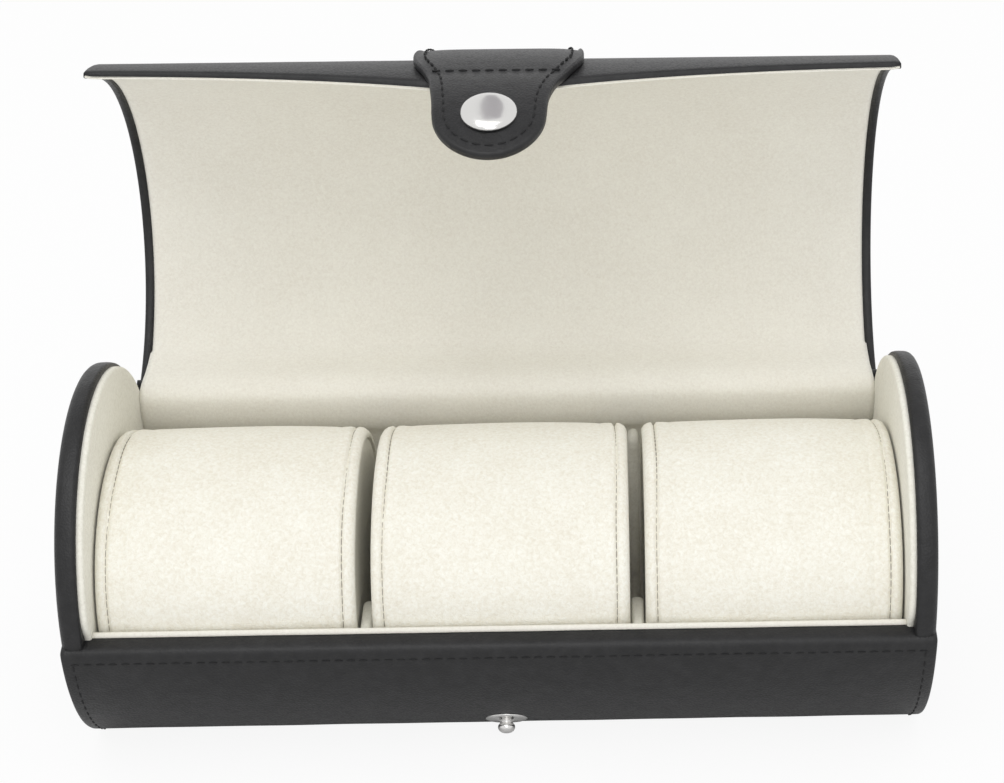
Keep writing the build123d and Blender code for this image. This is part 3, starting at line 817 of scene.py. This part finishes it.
def buildPillow(name):
    size, edge = pillow, pillow["edgeRadius"]
    middle, halfSize, oval = pillowForm(name)
    half = halfSize.x
    seamAt, ridgeAt = half - size["seam"], half - size["ridge"]
    flatTo = ridgeAt - 3

    def sink(x, phase):
        # How far under the widest section the velour lies at x from the middle.
        away = abs(x)
        fall = size["crownFall"] * (away / half) ** size["crownPower"]
        away += seamShift(1 if x > 0 else -1, phase) * easeStep((away - flatTo) / 3)
        fall += size["seamDepth"] * bell(away - seamAt, size["seamWidth"])
        fall -= sum(height * bell(away - seamAt - gap, width) for gap, height, width in size["puffs"])
        gap, height, width = size["ridgePuff"]
        ridge = size["ridgeDepth"] * bell(away - ridgeAt, size["ridgeWidth"])
        ridge -= height * bell(away - ridgeAt - gap, width)
        soft = size["softness"] * math.sin(phase * 3 + x * 0.11) * math.cos(x * 0.05 + phase)
        return fall + ridge * (0.7 + 0.3 * math.sin(phase * 2 + x)) + soft

    def ring(x, under):
        return [pillowSpot(middle, x, p, n, under(math.atan2(p[1], p[0]))) for p, n in oval]

    base = sink(half - edge, 0.0) + edge
    stations = spread(0, flatTo, 16)[:-1] + spread(flatTo, half - edge, 30)
    across = [-x for x in stations[:0:-1]] + stations
    ends = [(half - inset, lambda phase, drop=drop: sink(half - edge, phase) + drop)
            for inset, drop in quarter(edge, (22, 45, 68, 90))]
    ends += [(half - inset, lambda phase, drop=drop: base + drop) for inset, drop in size["turnIn"]]
    rings = [ring(-x, under) for x, under in reversed(ends)]
    rings += [ring(x, lambda phase, x=x: sink(x, phase)) for x in across]
    rings += [ring(x, under) for x, under in ends]
    sleeve = ringPiece("pillowSleeve_" + name, rings, velvet)
    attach(sleeve, "pillow_" + name)
    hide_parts("pillow_" + name + "_sleeve")

    discs = [(base + shrink, half - inset) for shrink, inset in size["panel"]]
    discs += [(halfSize.z * share, half - inset) for share, inset in size["panelMiddle"]]
    for side, end in ((-1, "Left"), (1, "Right")):
        rings = [ring(side * x, lambda phase, shrink=shrink: shrink) for shrink, x in discs]
        panel = ringPiece("pillowEnd" + end + "_" + name, rings, panelVelvet)
        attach(panel, "pillow_" + name)
        if side < 0:
            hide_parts("pillow_" + name + "_panels")


for name in pillowNames:
    buildPillow(name)
print("pillows made")

# The strap is one piece of leather, sewn to the lid and free past its edge.
strap = {
    "thickness": 2.4, "rootHeight": 18.3, "tipRadius": 12.4, "snapAngle": 221.0, "tipBeyond": 12.0,
    "flexBeyond": 0.9, "bendSpan": 5.0, "blendHalf": 1.6, "edgeRound": 0.75, "topFall": 0.12,
    "stitchInset": 2.6, "crossInset": 1.2,
    "lean": 1.05,       # mm that its sewn end sits to the right
    # half width at angles round the closed case: shoulders, then the waist of the tab
    "outline": ((150.0, 16.8), (168.0, 18.4), (179.0, 19.3), (187.0, 19.2), (192.0, 18.1), (197.3, 16.3),
                (202.5, 14.7), (208.0, 13.6), (214.5, 12.75), (222.0, 12.4)),
}
strap["midRadius"] = lid["outerRadius"] + strap["thickness"] / 2
strap["flexAngle"] = frontAngle(0, lid["outerRadius"], -strap["flexBeyond"])
strap["startAngle"] = 180 - math.degrees(math.asin(strap["rootHeight"] / strap["midRadius"]))


def alongStrap(angle):
    # mm along the strap's middle, from its sewn end, to an angle round the closed case.
    return math.radians(angle - strap["startAngle"]) * strap["midRadius"]


strap["flexLength"] = alongStrap(strap["flexAngle"])
strap["snapLength"] = alongStrap(strap["snapAngle"])
strap["length"] = strap["snapLength"] + strap["tipBeyond"]


def strapAngle(along):
    return strap["startAngle"] + math.degrees(along / strap["midRadius"])


def strapSpot(x, along, lift):
    # lift is mm out from the strap's middle.
    angle = strapAngle(along)
    x += strap["lean"] * easeStep((215 - angle) / 20)
    bend = easeStep((angle - strap["flexAngle"]) / strap["bendSpan"] + 0.5)
    pivot = polar(strap["midRadius"], strap["flexAngle"])
    spot = turned(polar(strap["midRadius"] + lift, angle), -case["tabLift"] * bend, pivot)
    return place(x, opened(spot))


def strapHalf(along, inset=0):
    # Half width of the strap, drawn in by inset, at a distance from its sewn end.
    past = along - (strap["length"] - strap["tipRadius"])
    if past > 0:
        return math.sqrt(max((strap["tipRadius"] - inset) ** 2 - past ** 2, 0))
    angle = strapAngle(along)
    stops = strap["outline"]
    i = max(k for k in range(len(stops) - 1) if stops[k][0] <= angle or k == 0)

    def slope(k):
        a, b = stops[max(k - 1, 0)], stops[min(k + 1, len(stops) - 1)]
        return (b[1] - a[1]) / (b[0] - a[0])

    (angleA, halfA), (angleB, halfB) = stops[i], stops[i + 1]
    span = angleB - angleA
    t = min(max((angle - angleA) / span, 0), 1)
    return ((2 * t ** 3 - 3 * t * t + 1) * halfA + (t ** 3 - 2 * t * t + t) * span * slope(i)
            + (3 * t * t - 2 * t ** 3) * halfB + (t ** 3 - t * t) * span * slope(i + 1)) - inset


def strapOutline(inset):
    # The strap's edge as (x, along), once round, moved in by inset.
    right = [(strapHalf(a), a) for a in spread(0, strap["length"], 400)]
    path = evenPath([(0, 0)] + right + [(-x, a) for x, a in reversed(right[:-1])] + [(0, 0)], 0.25)
    drawn = []
    n = len(path) - 1
    for i in range(n):
        a, b = path[(i - 6) % n], path[(i + 6) % n]
        dx, da = b[0] - a[0], b[1] - a[1]
        size = math.hypot(dx, da) or 1
        drawn.append((path[i][0] - da / size * inset, path[i][1] + dx / size * inset))
    return evenPath(drawn + drawn[:1], (strap["length"] + 34) / 200)[:-1]


def strapPoint(u, v, inset, lift, fall=0.0):
    # u runs -1 to 1 across, v 0 at the sewn end to 1 at the tip.
    along = inset + v * (strap["length"] - 2 * inset)
    x = u * max(strapHalf(along, inset), 0.02)
    return strapSpot(x, along, lift - fall * (abs(x) / 14) ** 6)


def strapBlend(piece):
    # Bakes a strap piece's transform into its mesh. The bend at the flex line is already drawn by strapSpot;
    # the blend's ends are worked out but not used.
    start = strapSpot(0, strap["flexLength"] - strap["blendHalf"], 0)
    end = strapSpot(0, strap["flexLength"] + strap["blendHalf"], 0)
    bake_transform(piece)


def buildStrap():
    half, edge = strap["thickness"] / 2, strap["edgeRound"]
    rims = [(inset, half - drop) for inset, drop in quarter(edge, (30, 60, 90))]
    rims += [(inset, -lift) for inset, lift in reversed(rims)] + [(edge, -half)]
    # rows bunch towards the round tip, where the width changes fastest
    along = [1 - (1 - t) ** 1.6 for t in spread(0, 1, 90)]
    piece = wrappedPiece("strapLeather", strapPoint, spread(-1, 1, 33), along,
                         (edge, half, strap["topFall"]), rims, leather)
    strapBlend(piece)
    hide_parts("strap_root", "strap_face", "strap_back")


buildStrap()

# The snap is a domed cap on the strap and a stud on the wall.
snap = {
    "cap": 12.5, "capHeight": 1.8, "pole": 0.01,
    # the dome as shares of the cap's radius and height, then its rolled rim in mm of height
    "dome": ((0.25, 0.985), (0.48, 0.93), (0.68, 0.82), (0.83, 0.66), (0.93, 0.47), (0.985, 0.28), (1, 0.10)),
    "rim": ((0.985, -0.12), (0.93, -0.28), (0.5, -0.34)),
    # the stud's (radius, height): post, flange, neck, ball
    "post": ((1.4, -3.0), (1.4, -0.35)),
    "flange": ((4.6, -0.35), (4.85, -0.2), (4.85, 0.05), (4.6, 0.2), (3.6, 0.34), (2.2, 0.5)),
    "neck": ((1.62, 0.7), (1.5, 0.95), (1.55, 1.2), (1.8, 1.4)),
    "ball": ((1.96, 1.75), (2.0, 2.1), (1.92, 2.5), (1.62, 2.95), (1.15, 3.27), (0.6, 3.42)),
    "ballTop": 3.46,
}


def buildSnapCap():
    origin = strapSpot(0, strap["snapLength"], strap["thickness"] / 2)
    axis = origin - strapSpot(0, strap["snapLength"], 0)
    radius, height, pole = snap["cap"] / 2, snap["capHeight"], snap["pole"]
    profile = [(pole, height)] + [(radius * r, height * h) for r, h in snap["dome"]]
    profile += [(radius * r, h) for r, h in snap["rim"]] + [(pole, snap["rim"][-1][1])]
    cap = turnedPiece("snapCap", profile, origin, axis, nickel, 72)
    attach(cap, "strap_end")
    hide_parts("snap_cap")


def buildSnapStud():
    foot = place(0, polar(case["coverRadius"], strap["snapAngle"]))
    profile = [(snap["pole"], snap["post"][0][1]), *snap["post"], *snap["flange"], *snap["neck"],
               *snap["ball"], (snap["pole"], snap["ballTop"])]
    stud = turnedPiece("snapStud", profile, foot, foot - place(0, (0, 0)), nickel, 56)
    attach(stud, "tray")
    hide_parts("snap_stud")


buildSnapCap()
buildSnapStud()
print("strap and snap made")

# Each kind of stitch has the sizes that the stitch tree takes, in mm.
stitching = {
    "strap": {"Pitch": 2.75, "Length": 2.0, "Radius": 0.29},
    "wall": {"Pitch": 2.75, "Length": 2.0, "Radius": 0.24},
    "pillow": {"Pitch": 1.9, "Length": 1.8, "Radius": 0.12},
    "proud": 0.02, "wallTop": 3.3, "wallSide": 2.5,
    "flatGap": 7.0,     # degrees that the side rows stop short of the flat
    "hingeGap": 6.0,    # degrees that they stop short of the hinge
    "pillowSink": 0.65,
}


def stitchTree():
    # Repeats a thread capsule along a path, each lying along it.
    tree = bpy.data.node_groups.new("stitchRow", "GeometryNodeTree")
    tree.interface.new_socket("Geometry", in_out="INPUT", socket_type="NodeSocketGeometry")
    for label in ("Pitch", "Length", "Radius"):
        tree.interface.new_socket(label, in_out="INPUT", socket_type="NodeSocketFloat")
    tree.interface.new_socket("Thread", in_out="INPUT", socket_type="NodeSocketMaterial")
    tree.interface.new_socket("Geometry", in_out="OUTPUT", socket_type="NodeSocketGeometry")
    into = addNode(tree, "NodeGroupInput").outputs
    curve = addNode(tree, "GeometryNodeMeshToCurve", links={"Mesh": into["Geometry"]})
    spaced = addNode(tree, "GeometryNodeResampleCurve", {"mode": "LENGTH"},
                     {"Curve": curve.outputs["Curve"], "Length": into["Pitch"]})
    tangent = addNode(tree, "GeometryNodeInputTangent")
    turn = addNode(tree, "FunctionNodeAlignRotationToVector", {"axis": "Z"}, {"Vector": tangent.outputs[0]})
    bead = addNode(tree, "GeometryNodeMeshUVSphere", {"Segments": 8, "Rings": 6}, {"Radius": into["Radius"]})
    double = addNode(tree, "ShaderNodeMath", {"operation": "MULTIPLY", 1: 2.0}, {0: into["Radius"]})
    stretch = addNode(tree, "ShaderNodeMath", {"operation": "DIVIDE"},
                      {0: into["Length"], 1: double.outputs[0]})
    scale = addNode(tree, "ShaderNodeCombineXYZ", {"X": 1.0, "Y": 1.0}, {"Z": stretch.outputs[0]})
    copies = addNode(tree, "GeometryNodeInstanceOnPoints", links={
        "Points": spaced.outputs["Curve"], "Instance": bead.outputs["Mesh"],
        "Rotation": turn.outputs["Rotation"], "Scale": scale.outputs["Vector"]})
    real = addNode(tree, "GeometryNodeRealizeInstances", links={"Geometry": copies.outputs["Instances"]})
    painted = addNode(tree, "GeometryNodeSetMaterial", links={
        "Geometry": real.outputs["Geometry"], "Material": into["Thread"]})
    addNode(tree, "NodeGroupOutput", links={"Geometry": painted.outputs["Geometry"]})
    return tree


stitchNodes = stitchTree()


def sewRows(name, rows, material, sizes):
    # rows: lists of points in metres. Gives one plain mesh of thread stitches.
    points, edges = [], []
    for row in rows:
        start = len(points)
        points += row
        edges += [(start + i, start + i + 1) for i in range(len(row) - 1)]
    mesh = bpy.data.meshes.new(name + "Path")
    mesh.from_pydata(points, edges, [])
    guide = addObject(name + "Path", mesh)
    modifier = guide.modifiers.new("stitches", "NODES")
    modifier.node_group = stitchNodes
    inputs = {label: size * mm for label, size in sizes.items()}
    inputs["Thread"] = material
    for item in stitchNodes.interface.items_tree:
        if item.in_out == "INPUT" and item.name in inputs:
            modifier[item.identifier] = inputs[item.name]
    bpy.context.view_layer.update()
    shape = guide.evaluated_get(bpy.context.evaluated_depsgraph_get())
    made = bpy.data.meshes.new_from_object(shape)
    made.name = name
    made.polygons.foreach_set("use_smooth", [True] * len(made.polygons))
    bpy.data.objects.remove(guide)
    return addObject(name, made)


def sewStrap():
    inset, lift = strap["stitchInset"], strap["thickness"] / 2 + stitching["proud"]
    edge = [strapSpot(x, along, lift) for x, along in strapOutline(inset)]
    crossAt = strap["flexLength"] - strap["crossInset"]
    half = strapHalf(crossAt, inset)
    cross = [strapSpot(x, crossAt, lift) for x in spread(-half, half, 40)]
    piece = sewRows("strapStitches", [edge + edge[:1], cross], leatherThread, stitching["strap"])
    strapBlend(piece)


def sewWall():
    radius, half = case["coverRadius"] + stitching["proud"], case["reach"] - stitching["wallSide"]
    top = 180 + math.degrees(stitching["wallTop"] / radius)
    flat = math.degrees(math.asin(case["axisHeight"] / radius)) - stitching["flatGap"]
    rear = lid["hingeAngle"] - stitching["hingeGap"]
    rows = [[place(x, polar(radius, top)) for x in spread(0.5 - half, half - 0.5, 120)]]
    for x in (-half, half):
        for angles in (spread(top + 1.5, 180 + flat, 60), spread(-flat, rear, 80)):
            rows.append([place(x, polar(radius, angle)) for angle in angles])
    piece = sewRows("wallStitches", rows, leatherThread, stitching["wall"])
    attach(piece, "tray")


def sewPillow(name):
    middle, half, oval = pillowForm(name)
    seamAt = half.x - pillow["seam"]
    under = pillow["crownFall"] * (seamAt / half.x) ** pillow["crownPower"] + stitching["pillowSink"]
    rows = []
    for side in (-1, 1):
        row = []
        for p, n in oval:
            x = side * (seamAt - seamShift(side, math.atan2(p[1], p[0])))
            row.append(pillowSpot(middle, x, p, n, under))
        rows.append(row + row[:1])
    # the thread's grey paints the shade in the seam groove
    piece = sewRows("pillowStitches_" + name, rows, seamShadeThread, stitching["pillow"])
    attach(piece, "pillow_" + name)


sewStrap()
sewWall()
for name in pillowNames:
    sewPillow(name)
print("stitches made")

# The floor, the sky and two soft lamps.
studio = {
    "floorSize": 6.0, "floorDrop": 0.0002, "paper": "#F2F2F2", "glow": 0.9, "sky": 0.80,
    "aim": (0, 0, 0.06),
    # spot, size, power
    "lamps": {"topLight": ((-0.12, -0.42, 1.15), 0.8, 3.8), "frontLight": ((0.10, -1.05, 0.68), 0.7, 1.6)},
}


def buildFloor():
    # White paper that the camera sees lit through, but for the object's shadow.
    s = studio["floorSize"]
    mesh = bpy.data.meshes.new("floor")
    mesh.from_pydata([(-s, -s, 0), (s, -s, 0), (s, s, 0), (-s, s, 0)], [], [(0, 1, 2, 3)])
    floor = addObject("floor", mesh)
    floor.location.z = -studio["floorDrop"]
    material, tree, shader = newMaterial("paperFloor")
    shader.inputs["Base Color"].default_value = toLinear(studio["paper"])
    shader.inputs["Roughness"].default_value = 0.9
    path = addNode(tree, "ShaderNodeLightPath")
    glow = addNode(tree, "ShaderNodeEmission", {"Color": (1, 1, 1, 1), "Strength": 1.0})
    seen = addNode(tree, "ShaderNodeMath", {"operation": "MULTIPLY", 1: studio["glow"]},
                   {0: path.outputs["Is Camera Ray"]})
    mix = addNode(tree, "ShaderNodeMixShader", links={
        0: seen.outputs[0], 1: shader.outputs["BSDF"], 2: glow.outputs["Emission"]})
    tree.links.new(mix.outputs["Shader"], tree.nodes["Material Output"].inputs["Surface"])
    mesh.materials.append(material)


def buildSky():
    # White to the camera and in metal, a little lower as light on the object.
    world = bpy.data.worlds.new("studio")
    bpy.context.scene.world = world
    world.use_nodes = True
    tree = world.node_tree
    background = tree.nodes["Background"]
    background.inputs["Color"].default_value = (1, 1, 1, 1)
    path = addNode(tree, "ShaderNodeLightPath")
    seen = addNode(tree, "ShaderNodeMath", {"operation": "MAXIMUM"},
                   {0: path.outputs["Is Camera Ray"], 1: path.outputs["Is Glossy Ray"]})
    strength = addNode(tree, "ShaderNodeMapRange", {"To Min": studio["sky"], "To Max": 1.0},
                       {"Value": seen.outputs[0]})
    tree.links.new(strength.outputs["Result"], background.inputs["Strength"])


def buildLamps():
    for name, (spot, size, power) in studio["lamps"].items():
        data = bpy.data.lights.new(name, "AREA")
        data.energy, data.size = power, size
        lamp = addObject(name, data)
        lamp.location = spot
        lamp.rotation_mode = "QUATERNION"
        lamp.rotation_quaternion = (Vector(studio["aim"]) - Vector(spot)).to_track_quat("-Z", "Y")


camera = {
    "turn": 0.0220, "lift": 0.5381, "roll": -0.0036,    # radians
    "offset": (-34.54, -28.91, 530.70),     # mm from the lens to the barrel's middle, in its own axes
    "focal": 2217.9, "centre": (651, 415.4), "image": (1004, 783),      # pixels
    "sensor": 36,
}


def buildCamera():
    a, e, roll = camera["turn"], camera["lift"], camera["roll"]
    ahead = Vector((math.sin(a) * math.cos(e), math.cos(a) * math.cos(e), -math.sin(e)))
    level = Vector((math.cos(a), -math.sin(a), 0))
    rise = level.cross(ahead)
    right = math.cos(roll) * level + math.sin(roll) * rise
    up = math.cos(roll) * rise - math.sin(roll) * level
    x, y, z = camera["offset"]
    eye = place(0, (0, 0)) - (right * x + up * y + ahead * z) * mm
    width, height = camera["image"]
    data = bpy.data.cameras.new("camera")
    data.sensor_width = camera["sensor"]
    data.lens = camera["focal"] / width * camera["sensor"]
    data.shift_x = (width / 2 - camera["centre"][0]) / width
    data.shift_y = (camera["centre"][1] - height / 2) / width
    data.clip_start, data.clip_end = 0.01, 20
    item = addObject("camera", data)
    item.matrix_world = Matrix.Translation(eye) @ Matrix((right, up, -ahead)).transposed().to_4x4()
    bpy.context.scene.camera = item


# A grey card that only shines in the snap cap, as a flag does in a studio.
capCard = {
    "distance": 0.9, "aside": -0.05, "halfTop": 0.17, "halfFoot": 0.05, "halfHeight": 0.42,
    "tone": "#CBC8CC",
}


def buildCapCard():
    cap = strapSpot(0, strap["snapLength"], strap["thickness"] / 2)
    normal = (cap - strapSpot(0, strap["snapLength"], 0)).normalized()
    sight = (cap - bpy.context.scene.camera.matrix_world.translation).normalized()
    bounce = sight - 2 * sight.dot(normal) * normal
    side = bounce.cross(Vector((0, 0, 1))).normalized()
    rise = side.cross(bounce)
    middle = cap + bounce * capCard["distance"] - side * capCard["aside"]
    height, top, foot = capCard["halfHeight"], capCard["halfTop"], capCard["halfFoot"]
    corners = [(-foot, -height), (foot, -height), (top, height), (-top, height)]
    mesh = bpy.data.meshes.new("capCard")
    mesh.from_pydata([middle + side * a + rise * b for a, b in corners], [], [(0, 1, 2, 3)])
    card = addObject("capCard", mesh)
    material, tree, shader = newMaterial("greyCard")
    shader.inputs["Base Color"].default_value = toLinear(capCard["tone"])
    shader.inputs["Roughness"].default_value = 0.9
    mesh.materials.append(material)
    card.visible_camera = card.visible_diffuse = card.visible_shadow = False


buildFloor()
buildSky()
buildLamps()
buildCamera()
buildCapCard()
bpy.context.scene.view_settings.view_transform = "Standard"

print("dressed")
